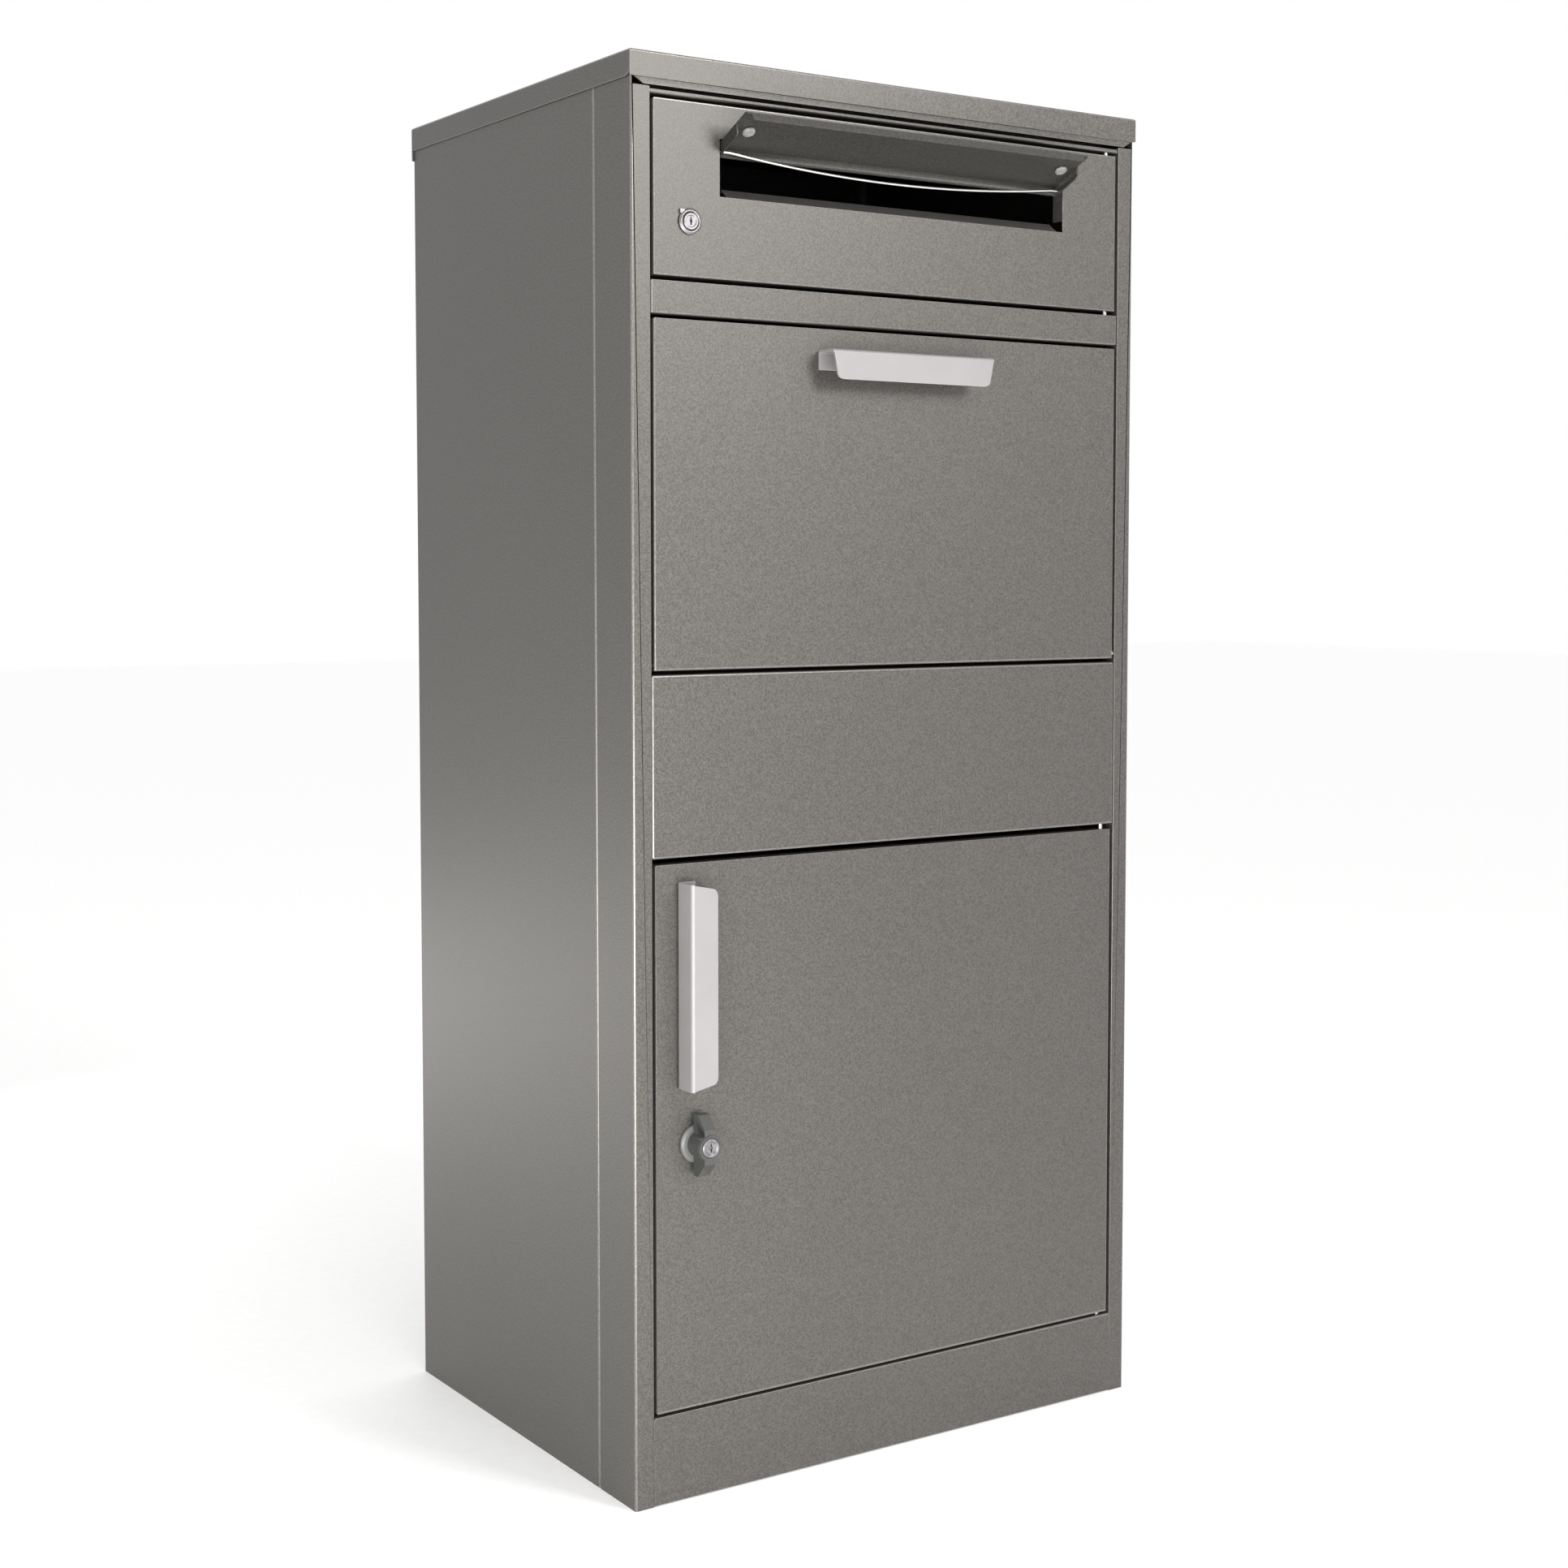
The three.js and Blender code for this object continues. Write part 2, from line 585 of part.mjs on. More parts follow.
// ---- retrieval door and its wing latch ----
const retrievalScrewX = retrievalPull.left + pull.back / 2;
const retrievalScrewZ = (side) => retrievalPull.top - pull.length / 2 + side * pull.screwSpread;

function retrievalDoorTray() {
  return cutAway(foldedTray(doorHalf, retrievalDoor.z0, retrievalDoor.z1, front, doorFold), [
    pinHole(retrievalDoor.z0 - 1, retrievalDoor.z0 + 3),
    pinHole(retrievalDoor.z1 - 3, retrievalDoor.z1 + 1),
    bar('y', latch.x, latch.z, latch.barrel + gap, front - 1, front + 3, 32),
    ...[-1, 1].map((side) => bar('y', retrievalScrewX, retrievalScrewZ(side), 2.3, front - 1, front + 3, 16)),
  ]);
}

function latchHousing() {
  const { x, z } = latch;
  return cutAway(join([
    bar('y', x, z, latch.rose, front - gap - 3.5, front - gap, 40),
    bar('y', x, z, latch.barrel, front - gap - 1, front + 11, 32),
  ]), [bar('y', x, z, latch.spindle + gap, front - 6, front + 12, 24)]);
}

const knobBack = front - 4.1;
const knobFront = front - 19.2;
const knobFloor = front - 10.5;

function wingKnob() {
  const { x, z, wing, shoulder, tipBreak } = latch;
  const slopeStart = knobBack - latch.tipFace;
  const profile = [
    [knobBack, z - wing + tipBreak], [knobBack, z + wing - tipBreak], [knobBack - tipBreak, z + wing],
    [slopeStart, z + wing], [knobFront, z + shoulder], [knobFront, z - shoulder], [slopeStart, z - wing],
    [knobBack - tipBreak, z - wing],
  ];
  const boss = bar('y', x, z, latch.boss, knobFront, knobBack, 32);
  const collar = bar('y', x, z, latch.collar, knobFront - latch.collarProud, knobBack, 32);
  return cutAway(join([sidePlate(profile, x - latch.wingHalf, x + latch.wingHalf), boss, collar]), [
    bar('y', x, z, latch.key + gap, knobFront - 2, knobFloor, 32),
    bar('y', x, z, latch.spindle + gap, knobFloor - 1, knobBack + 1, 24),
  ]);
}

function knobSpindle() {
  const { x, z } = latch;
  return cutAway(bar('y', x, z, latch.spindle, knobFloor + 1, camPlane.y0 - gap, 24), [
    bar('y', x, z, 1.8, camPlane.y0 - 8, camPlane.y0 + 1, 16),
  ]);
}

function keyCylinder() {
  const { x, z } = latch;
  const face = knobFront - 2;
  return cutAway(bar('y', x, z, latch.key, face, knobFloor - gap, 32), [
    slab(x - 0.6, x + 0.6, face - 1, face + 3, z - 3, z + 3),
  ]);
}

// ---- assembly ----
addPart('top_cap', topCap(), greyCoat());
addPart('back_panel', backPanel(), greyCoat());
addPart('base_pan', basePlate(), darkCoat());
addPart('top_rail', topRailChannel(), darkCoat());
addPart('upper_rail', upperRailTray(), greyCoat());
addPart('middle_panel', middleTray(), greyCoat());
addPart('plinth_panel', plinthTray(), greyCoat());
addPart('letter_shelf', letterShelf(), darkCoat());
addPart('chute_baffle', chuteBaffle(), darkCoat());
for (const [word, side] of [['left', -1], ['right', 1]]) {
  addPart(`${word}_front_post`, frontPost(side), greyCoat());
  addPart(`${word}_side_panel`, sidePanel(side), greyCoat());
  addPart(`baffle_screw_${word}`, baffleScrew(side), brightSteel());
  addPart(`parcel_pin_${word}`, hopperPin(side), brightSteel());
  addPart(`hopper_cheek_${word}`, hopperCheek(side), darkCoat());
  addPart(`parcel_handle_screw_${word}`, pullScrew(side * pull.screwSpread, parcelPull.top - pull.back / 2),
    brightSteel());
  addPart(`flap_bumper_${word}`, flapBumper(side), softPad());
}

addPart('letter_pin_top', doorPin(letterDoor.z1 - 4, topRail.z0 + 3, topRail.z0 + sheet + gap), brightSteel());
addPart('letter_pin_bottom', doorPin(upperRail.z1 - 4, letterDoor.z0 + 4, upperRail.z1 - sheet - gap - pin.head),
  brightSteel());
addPart('retrieval_pin_top',
  doorPin(retrievalDoor.z1 - 4, middlePanel.z0 + 4, middlePanel.z0 + sheet + gap), brightSteel());
addPart('retrieval_pin_bottom',
  doorPin(plinth.z1 - 4, retrievalDoor.z0 + 4, plinth.z1 - sheet - gap - pin.head), brightSteel());

addPart('letter_door', letterDoorTray(), greyCoat());
addPart('letter_lock_housing', letterLockHousing(), brightSteel());
addPart('letter_lock_nut', lockNut(letterLock.x, letterLock.z, letterLock.barrel, 12, front + sheet + gap),
  brightSteel());
addPart('letter_lock_plug', letterLockPlug(), brightSteel());
addPart('letter_lock_cam', camPlate(letterLock.x, letterLock.z, letterLock.camReach, 7), brightSteel());
addPart('letter_cam_screw', camScrew(letterLock.x, letterLock.z, camPlane.y0 - 5), brightSteel());
addPart('flap_hinge_wire', hingeWire(), brightSteel());
addPart('letter_flap', letterFlap(), greyCoat());

addPart('parcel_door', parcelDoorTray(), greyCoat());
addPart('parcel_handle', parcelPullSolid(), whiteCoat());
addPart('hopper_tray', hopperTray(), darkCoat());

addPart('retrieval_door', retrievalDoorTray(), greyCoat());
addPart('retrieval_handle', retrievalPullSolid(), whiteCoat());
addPart('retrieval_handle_screw_top', pullScrew(retrievalScrewX, retrievalScrewZ(1)), brightSteel());
addPart('retrieval_handle_screw_bottom', pullScrew(retrievalScrewX, retrievalScrewZ(-1)), brightSteel());
addPart('latch_housing', latchHousing(), greyCoat());
addPart('latch_nut', lockNut(latch.x, latch.z, latch.barrel, 14.5, front + sheet + gap), brightSteel());
addPart('wing_knob', wingKnob(), greyCoat());
addPart('knob_spindle', knobSpindle(), brightSteel());
addPart('latch_cam', camPlate(latch.x, latch.z, latch.camReach, 9), brightSteel());
addPart('latch_cam_screw', camScrew(latch.x, latch.z, camPlane.y0 - 7), brightSteel());
addPart('key_cylinder', keyCylinder(), brightSteel());

export default group;
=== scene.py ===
# Parcel drop box: the finished sheet-metal pieces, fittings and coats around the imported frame.
# Metres, +Z up, the front faces -Y.
import math

import bmesh
import bpy
from mathutils import Matrix, Vector


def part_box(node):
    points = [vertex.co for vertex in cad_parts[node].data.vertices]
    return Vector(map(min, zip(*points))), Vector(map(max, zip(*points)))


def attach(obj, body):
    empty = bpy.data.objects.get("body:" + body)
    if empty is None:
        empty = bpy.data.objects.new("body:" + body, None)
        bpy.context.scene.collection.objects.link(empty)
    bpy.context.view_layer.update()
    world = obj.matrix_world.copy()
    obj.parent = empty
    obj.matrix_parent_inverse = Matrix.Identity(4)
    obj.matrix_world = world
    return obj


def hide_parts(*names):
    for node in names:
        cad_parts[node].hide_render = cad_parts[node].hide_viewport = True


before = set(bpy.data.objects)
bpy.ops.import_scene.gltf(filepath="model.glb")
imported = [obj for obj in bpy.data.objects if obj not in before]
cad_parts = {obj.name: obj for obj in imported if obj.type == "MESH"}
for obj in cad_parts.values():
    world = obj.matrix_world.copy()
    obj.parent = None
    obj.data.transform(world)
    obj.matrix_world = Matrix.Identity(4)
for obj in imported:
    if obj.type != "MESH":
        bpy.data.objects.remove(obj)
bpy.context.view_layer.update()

mm = 0.001
print("stage: frame loaded")

# ---- camera, light and floor ----
# place in metres, turn and downward tilt in degrees, lens in millimetres
cameraLook = {
    "place": (-1.0278, -1.5651, 0.6632), "turn": 33.636, "tilt": 3.375, "lens": 53.41, "shift": -0.0497,
    "near": 0.05, "far": 60,
}


def addCamera():
    lens = bpy.data.cameras.new("studioCamera")
    lens.lens = cameraLook["lens"]
    lens.sensor_width = 36
    lens.shift_y = cameraLook["shift"]
    lens.clip_start = cameraLook["near"]
    lens.clip_end = cameraLook["far"]
    camera = bpy.data.objects.new("studioCamera", lens)
    camera.location = cameraLook["place"]
    camera.rotation_euler = (math.radians(90 - cameraLook["tilt"]), 0, -math.radians(cameraLook["turn"]))
    bpy.context.scene.collection.objects.link(camera)
    bpy.context.scene.camera = camera


# place, point aimed at, width and height in metres, watts, colour
lightLook = {
    "frontPanel": ((0.44, -1.5, 1.37), (-0.15, -0.17, 0.95), 0.45, 0.5, 17, (1.0, 0.99, 0.97)),
    "lowPanel": ((-0.7, -1.3, 0.22), (-0.15, -0.17, 0.25), 1.6, 0.4, 25, (1.0, 0.99, 0.975)),
    "edgePanel": ((-1.9, -1.2, 0.75), (-0.2, -0.17, 0.6), 0.9, 1.7, 5, (1.0, 1.0, 0.99)),
    "sidePanel": ((-0.8, 1.1, 0.12), (-0.23, 0.1, 0.1), 1.1, 0.22, 2.5, (1.0, 0.995, 0.985)),
}
worldLook = {"colour": (1.0, 1.0, 1.0, 1), "strength": 1.0}


def addLights():
    for name, (place, aim, width, height, power, colour) in lightLook.items():
        panel = bpy.data.lights.new(name, "AREA")
        panel.shape = "RECTANGLE"
        panel.size = width
        panel.size_y = height
        panel.energy = power
        panel.color = colour
        lamp = bpy.data.objects.new(name, panel)
        lamp.location = place
        direction = Vector(aim) - Vector(place)
        lamp.rotation_euler = direction.to_track_quat("-Z", "Y").to_euler()
        bpy.context.scene.collection.objects.link(lamp)
    world = bpy.data.worlds.new("studio")
    world.use_nodes = True
    background = world.node_tree.nodes["Background"]
    background.inputs["Color"].default_value = worldLook["colour"]
    background.inputs["Strength"].default_value = worldLook["strength"]
    bpy.context.scene.world = world
    bpy.context.scene.view_settings.view_transform = "Standard"


# ---- materials ----
def addNode(tree, kind, **values):
    node = tree.nodes.new(kind)
    for key, value in values.items():
        socket = node.inputs.get(key)
        if socket is not None:
            socket.default_value = value
        else:
            setattr(node, key, value)
    return node


def newMaterial(name):
    material = bpy.data.materials.new(name)
    material.use_nodes = True
    tree = material.node_tree
    return material, tree, tree.nodes["Principled BSDF"]


def shadeBetween(tree, factor, dark, light, low=0.35, high=0.65):
    ramp = addNode(tree, "ShaderNodeValToRGB")
    ramp.color_ramp.elements[0].position = low
    ramp.color_ramp.elements[0].color = (*dark, 1)
    ramp.color_ramp.elements[1].position = high
    ramp.color_ramp.elements[1].color = (*light, 1)
    tree.links.new(factor, ramp.inputs["Fac"])
    return ramp.outputs["Color"]


def spread(tree, factor, low, high):
    node = addNode(tree, "ShaderNodeMapRange")
    node.inputs["From Min"].default_value = 0.3
    node.inputs["From Max"].default_value = 0.7
    node.inputs["To Min"].default_value = low
    node.inputs["To Max"].default_value = high
    tree.links.new(factor, node.inputs["Value"])
    return node.outputs["Result"]


def grainOf(tree, scale, detail=2.0, stretch=None):
    coords = addNode(tree, "ShaderNodeTexCoord")
    source = coords.outputs["Object"]
    if stretch:
        mapping = addNode(tree, "ShaderNodeMapping")
        mapping.inputs["Scale"].default_value = stretch
        tree.links.new(source, mapping.inputs["Vector"])
        source = mapping.outputs["Vector"]
    noise = addNode(tree, "ShaderNodeTexNoise", Scale=scale, Detail=detail, Roughness=0.55)
    tree.links.new(source, noise.inputs["Vector"])
    return noise.outputs["Fac"]


def addBump(tree, shader, height, strength, distance):
    bump = addNode(tree, "ShaderNodeBump", Strength=strength, Distance=distance)
    tree.links.new(height, bump.inputs["Height"])
    tree.links.new(bump.outputs["Normal"], shader.inputs["Normal"])


# Metallic powder coat: a fine pebbled skin with flakes, and slow drifts of tone across a panel.
def powderCoat(name, look):
    material, tree, shader = newMaterial(name)
    grain = grainOf(tree, look["grain"], 3.0)
    drift = grainOf(tree, 3.2, 2.0)
    fleck = shadeBetween(tree, grain, look["dark"], look["light"])
    tone = shadeBetween(tree, drift, (look["drift"],) * 3, (1.0, 1.0, 1.0), 0.3, 0.7)
    mix = addNode(tree, "ShaderNodeMix", data_type="RGBA", blend_type="MULTIPLY")
    mix.inputs["Factor"].default_value = 1.0
    tree.links.new(fleck, mix.inputs["A"])
    tree.links.new(tone, mix.inputs["B"])
    tree.links.new(mix.outputs["Result"], shader.inputs["Base Color"])
    tree.links.new(spread(tree, grain, *look["rough"]), shader.inputs["Roughness"])
    shader.inputs["Metallic"].default_value = look["metal"]
    shader.inputs["Specular IOR Level"].default_value = 0.5
    addBump(tree, shader, grain, look["pebble"], 0.0004)
    return material


coatLook = {
    "greyCoat": {"dark": (0.068, 0.064, 0.060), "light": (0.120, 0.114, 0.107), "grain": 760,
                 "drift": 0.955, "rough": (0.40, 0.52), "metal": 0.6, "pebble": 0.24},
    # a brighter copy of greyCoat for the bevelled bends: painted highlight along the edges
    "greyEdgeHighlight": {"dark": (0.150, 0.143, 0.135), "light": (0.225, 0.215, 0.203), "grain": 900,
                 "drift": 0.97, "rough": (0.28, 0.36), "metal": 0.75, "pebble": 0.08},
    # a darker copy of greyCoat for the letter flap: painted shade for its underside seen in its own shadow
    "flapShadeCoat": {"dark": (0.040, 0.038, 0.035), "light": (0.076, 0.072, 0.067), "grain": 760,
                 "drift": 0.955, "rough": (0.38, 0.50), "metal": 0.55, "pebble": 0.20},
    # a darker, duller copy of the grey coat for pieces inside the box: painted shade for the dim interior
    "innerShadeCoat": {"dark": (0.044, 0.042, 0.039), "light": (0.082, 0.079, 0.074), "grain": 700,
                  "drift": 0.93, "rough": (0.50, 0.62), "metal": 0.25, "pebble": 0.20},
    "roseCoat": {"dark": (0.120, 0.122, 0.118), "light": (0.150, 0.152, 0.147), "grain": 1500,
                 "drift": 0.95, "rough": (0.42, 0.50), "metal": 0.30, "pebble": 0.05},
    "knobCoat": {"dark": (0.046, 0.048, 0.045), "light": (0.064, 0.066, 0.062), "grain": 1500,
                 "drift": 0.95, "rough": (0.34, 0.42), "metal": 0.20, "pebble": 0.05},
}


# Satin enamel with a very light orange peel.
def enamelCoat(name, look):
    material, tree, shader = newMaterial(name)
    peel = grainOf(tree, 260, 2.0)
    drift = grainOf(tree, 18, 2.0)
    tree.links.new(shadeBetween(tree, drift, look["dark"], look["light"]), shader.inputs["Base Color"])
    tree.links.new(spread(tree, peel, 0.30, 0.40), shader.inputs["Roughness"])
    shader.inputs["Coat Weight"].default_value = 0.15
    shader.inputs["Coat Roughness"].default_value = 0.2
    addBump(tree, shader, peel, 0.06, 0.0003)
    return material


enamelLook = {
    # a brighter copy of whiteCoat for the pulls' rounded edges: painted highlight
    "whiteCoat": {"dark": (0.212, 0.201, 0.205), "light": (0.228, 0.216, 0.220)},
    "whiteEdgeHighlight": {"dark": (0.28, 0.267, 0.271), "light": (0.31, 0.296, 0.300)},
}


# Bare metal: 'stretch' draws the scratches out along one direction.
def bareMetal(name, look):
    material, tree, shader = newMaterial(name)
    scratch = grainOf(tree, look["scale"], 4.0, look["stretch"])
    shade = shadeBetween(tree, scratch, look["dark"], look["light"], 0.3, 0.7)
    tree.links.new(shade, shader.inputs["Base Color"])
    tree.links.new(spread(tree, scratch, *look["rough"]), shader.inputs["Roughness"])
    shader.inputs["Metallic"].default_value = 1.0
    addBump(tree, shader, scratch, look["bump"], 0.0001)
    return material


metalLook = {
    "chrome": {"dark": (0.15, 0.146, 0.15), "light": (0.28, 0.273, 0.28), "scale": 420, "stretch": (1, 1, 1),
               "rough": (0.42, 0.50), "bump": 0.03},
    "zincSteel": {"dark": (0.36, 0.36, 0.37), "light": (0.54, 0.54, 0.55), "scale": 240, "stretch": (1, 1, 5),
                  "rough": (0.26, 0.42), "bump": 0.08},
    "brightWire": {"dark": (0.80, 0.80, 0.79), "light": (0.93, 0.93, 0.92), "scale": 600, "stretch": (0.2, 1, 1),
                   "rough": (0.10, 0.22), "bump": 0.04},
}


padLook = {"dark": (0.36, 0.35, 0.33), "light": (0.50, 0.49, 0.47), "rough": (0.22, 0.34)}


# Clear, slightly hazy soft plastic.
def softPad():
    material, tree, shader = newMaterial("softPad")
    haze = grainOf(tree, 500, 2.0)
    tree.links.new(shadeBetween(tree, haze, padLook["dark"], padLook["light"]), shader.inputs["Base Color"])
    tree.links.new(spread(tree, haze, *padLook["rough"]), shader.inputs["Roughness"])
    shader.inputs["Transmission Weight"].default_value = 0.55
    shader.inputs["IOR"].default_value = 1.45
    addBump(tree, shader, haze, 0.05, 0.0002)
    return material


floorLook = {"dark": (0.965, 0.965, 0.962), "light": (0.985, 0.985, 0.982), "rough": (0.62, 0.72), "reach": 14}


def floorCoat():
    material, tree, shader = newMaterial("floorCoat")
    grain = grainOf(tree, 90, 3.0)
    shade = shadeBetween(tree, grain, floorLook["dark"], floorLook["light"])
    tree.links.new(shade, shader.inputs["Base Color"])
    tree.links.new(spread(tree, grain, *floorLook["rough"]), shader.inputs["Roughness"])
    addBump(tree, shader, grain, 0.02, 0.0005)
    return material


coats = {name: powderCoat(name, look) for name, look in coatLook.items()}
coats.update({name: enamelCoat(name, look) for name, look in enamelLook.items()})
coats.update({name: bareMetal(name, look) for name, look in metalLook.items()})
coats["softPad"] = softPad()
coats["floorCoat"] = floorCoat()
# coats that carry a painted highlight: brighter copies laid along rounded edges
edgeHighlightCoats = {"greyCoat": "greyEdgeHighlight", "whiteCoat": "whiteEdgeHighlight"}


# Hands a finished bmesh over as a mesh, with its faces turned outwards.
def finishMesh(name, bm):
    bmesh.ops.recalc_face_normals(bm, faces=bm.faces)
    mesh = bpy.data.meshes.new(name)
    bm.to_mesh(mesh)
    bm.free()
    return mesh


def addFloor():
    bm = bmesh.new()
    bmesh.ops.create_grid(bm, x_segments=8, y_segments=8, size=floorLook["reach"])
    mesh = bpy.data.meshes.new("studioFloor")
    bm.to_mesh(mesh)
    bm.free()
    mesh.materials.append(coats["floorCoat"])
    floor = bpy.data.objects.new("studioFloor", mesh)
    bpy.context.scene.collection.objects.link(floor)


addCamera()
addLights()
addFloor()
print("stage: studio")


# ---- ways of making a piece ----
def addPiece(name, mesh, body, coat, stands):
    mesh.materials.clear()
    mesh.materials.append(coats[coat])
    # second slot: the brighter coat that paints a highlight on bevelled edges
    mesh.materials.append(coats[edgeHighlightCoats.get(coat, coat)])
    for polygon in mesh.polygons:
        polygon.use_smooth = True
    piece = bpy.data.objects.new(name, mesh)
    bpy.context.scene.collection.objects.link(piece)
    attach(piece, body)
    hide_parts(*stands)
    return piece


def roundEdges(piece, width, segments=3, weighted=False):
    bevel = piece.modifiers.new("roundedEdges", "BEVEL")
    bevel.width = width * mm
    bevel.segments = segments
    bevel.use_clamp_overlap = not weighted
    bevel.limit_method = "WEIGHT" if weighted else "ANGLE"
    bevel.angle_limit = math.radians(32)
    # the bevel faces take the second slot, the brighter coat that paints a highlight on the edges
    bevel.material = 1
    normals = piece.modifiers.new("evenNormals", "WEIGHTED_NORMAL")
    normals.keep_sharp = True
    normals.weight = 80


# How far a face reaches inwards from one of its edges, at its narrowest of three places.
def localWidth(face, edge):
    loop = next(item for item in face.loops if item.edge is edge)
    start, end = loop.vert.co, loop.link_loop_next.vert.co
    along = (end - start).normalized()
    inward = face.normal.cross(along)
    nearest = 1.0
    for place in (0.04, 0.5, 0.96):
        base = start.lerp(end, place)
        for other in face.edges:
            if other is edge:
                continue
            offsets = [vert.co - base for vert in other.verts]
            side = [offset.dot(along) for offset in offsets]
            if side[0] * side[1] > 0 or abs(side[0] - side[1]) < 1e-9:
                continue
            share = side[0] / (side[0] - side[1])
            deep = offsets[0].dot(inward) * (1 - share) + offsets[1].dot(inward) * share
            if deep > 1e-6:
                nearest = min(nearest, deep)
    return nearest


sheetLook = {"bend": 1.5, "cutEdge": 0.28, "cutFace": 1.9 * mm}


# A folded sheet: its bends get a radius, and its cut edges a small break.
def foldedPiece(name, node, body, coat, bend=None, cutEdge=None, cutters=()):
    bend = bend or sheetLook["bend"]
    cutEdge = cutEdge or sheetLook["cutEdge"]
    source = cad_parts[node].data
    if cutters:
        source = carvedMesh(name, source.copy(), cutters)
    bm = bmesh.new()
    bm.from_mesh(source)
    bmesh.ops.remove_doubles(bm, verts=bm.verts, dist=0.07 * mm)
    bmesh.ops.dissolve_degenerate(bm, edges=bm.edges, dist=0.01 * mm)
    bmesh.ops.dissolve_limit(bm, angle_limit=math.radians(0.4), verts=bm.verts, edges=bm.edges)
    bmesh.ops.recalc_face_normals(bm, faces=bm.faces)
    weight = bm.edges.layers.float.new("bevel_weight_edge")
    for edge in bm.edges:
        if len(edge.link_faces) != 2 or edge.calc_face_angle_signed(0) < math.radians(35):
            continue
        cut = min(localWidth(face, edge) for face in edge.link_faces) < sheetLook["cutFace"]
        edge[weight] = cutEdge / bend if cut else 1.0
    mesh = bpy.data.meshes.new(name)
    bm.to_mesh(mesh)
    bm.free()
    piece = addPiece(name, mesh, body, coat, [node])
    roundEdges(piece, bend, 4, True)


# Rounds the inner corners of a line of (a, b) points in millimetres.
def filletLine(points, radius, steps=5):
    line = [Vector(points[0])]
    for before, corner, after in zip(points, points[1:], points[2:]):
        corner = Vector(corner)
        toBefore = Vector(before) - corner
        toAfter = Vector(after) - corner
        half = toBefore.angle(toAfter) / 2
        reach = min(radius / math.tan(half), toBefore.length * 0.45, toAfter.length * 0.45)
        start = corner + toBefore.normalized() * reach
        end = corner + toAfter.normalized() * reach
        bisector = (toBefore.normalized() + toAfter.normalized()).normalized()
        centre = corner + bisector * (reach / math.cos(half))
        first = math.atan2(*(start - centre).yx)
        sweep = math.atan2(*(end - centre).yx) - first
        sweep = (sweep + math.pi) % (2 * math.pi) - math.pi
        size = (start - centre).length
        for i in range(steps + 1):
            angle = first + sweep * i / steps
            line.append(centre + Vector((math.cos(angle), math.sin(angle))) * size)
    line.append(Vector(points[-1]))
    return line


turns = {
    "x": Matrix(((0, 1, 0), (0, 0, 1), (1, 0, 0))),
    "y": Matrix(((1, 0, 0), (0, 1, 0), (0, 0, 1))),
    "z": Matrix(((0, 0, 1), (1, 0, 0), (0, 1, 0))),
}


# Spins a line of (station, radius) points about an axis; a ring closes on itself.
def turnedMesh(name, axis, centre, profile, ring=False, segments=72):
    bm = bmesh.new()
    circles = []
    for station, radius in profile:
        if radius < 1e-4:
            circles.append([bm.verts.new((0, station * mm, 0))])
            continue
        angles = [2 * math.pi * i / segments for i in range(segments)]
        circles.append([bm.verts.new((radius * mm * math.cos(a), station * mm, radius * mm * math.sin(a)))
                        for a in angles])
    if ring:
        circles.append(circles[0])
    for first, second in zip(circles, circles[1:]):
        for i in range(segments):
            j = (i + 1) % segments
            corners = [first[i % len(first)], first[j % len(first)],
                       second[j % len(second)], second[i % len(second)]]
            bm.faces.new(list(dict.fromkeys(corners)))
    bmesh.ops.recalc_face_normals(bm, faces=bm.faces)
    turn = turns[axis].to_4x4()
    bmesh.ops.transform(bm, matrix=Matrix.Translation(Vector(centre)) @ turn, verts=bm.verts)
    mesh = bpy.data.meshes.new(name)
    bm.to_mesh(mesh)
    bm.free()
    return mesh


def tempObject(mesh):
    thing = bpy.data.objects.new(mesh.name, mesh)
    bpy.context.scene.collection.objects.link(thing)
    return thing


def blockMesh(name, low, high):
    bm = bmesh.new()
    bmesh.ops.create_cube(bm, size=1)
    size = Vector(high) - Vector(low)
    bmesh.ops.scale(bm, vec=size, verts=bm.verts)
    bmesh.ops.translate(bm, vec=(Vector(high) + Vector(low)) / 2, verts=bm.verts)
    mesh = bpy.data.meshes.new(name)
    bm.to_mesh(mesh)
    bm.free()
    return mesh


# Joins or cuts meshes that are already in place, and gives the resulting mesh.
def carvedMesh(name, mesh, others, operation="DIFFERENCE"):
    main = tempObject(mesh)
    tools = [tempObject(other) for other in others]
    for tool in tools:
        modifier = main.modifiers.new("carve", "BOOLEAN")
        modifier.object = tool
        modifier.operation = operation
        modifier.solver = "EXACT"
    bpy.context.view_layer.update()
    graph = bpy.context.evaluated_depsgraph_get()
    carved = bpy.data.meshes.new_from_object(main.evaluated_get(graph))
    carved.name = name
    for thing in [main, *tools]:
        bpy.data.objects.remove(thing)
    return carved


# ---- carcass ----
# the base pan, letter shelf and chute baffle take the darker inner coat: painted shade inside the box
carcass = {
    "backPanel": ("back_panel", "greyCoat"), "basePan": ("base_pan", "innerShadeCoat"),
    "topRail": ("top_rail", "greyCoat"), "upperRail": ("upper_rail", "greyCoat"),
    "middlePanel": ("middle_panel", "greyCoat"), "plinthPanel": ("plinth_panel", "greyCoat"),
    "letterShelf": ("letter_shelf", "innerShadeCoat"), "chuteBaffle": ("chute_baffle", "innerShadeCoat"),
    "leftPost": ("left_front_post", "greyCoat"), "rightPost": ("right_front_post", "greyCoat"),
    "leftSide": ("left_side_panel", "greyCoat"), "rightSide": ("right_side_panel", "greyCoat"),
}
for pieceName, (nodeName, coatName) in carcass.items():
    foldedPiece(pieceName, nodeName, "cabinet", coatName)

capLook = {"sheet": 1.2, "slit": 0.5, "slitTop": 2.2, "rim": 18.0, "corner": 5.0, "steps": 8}


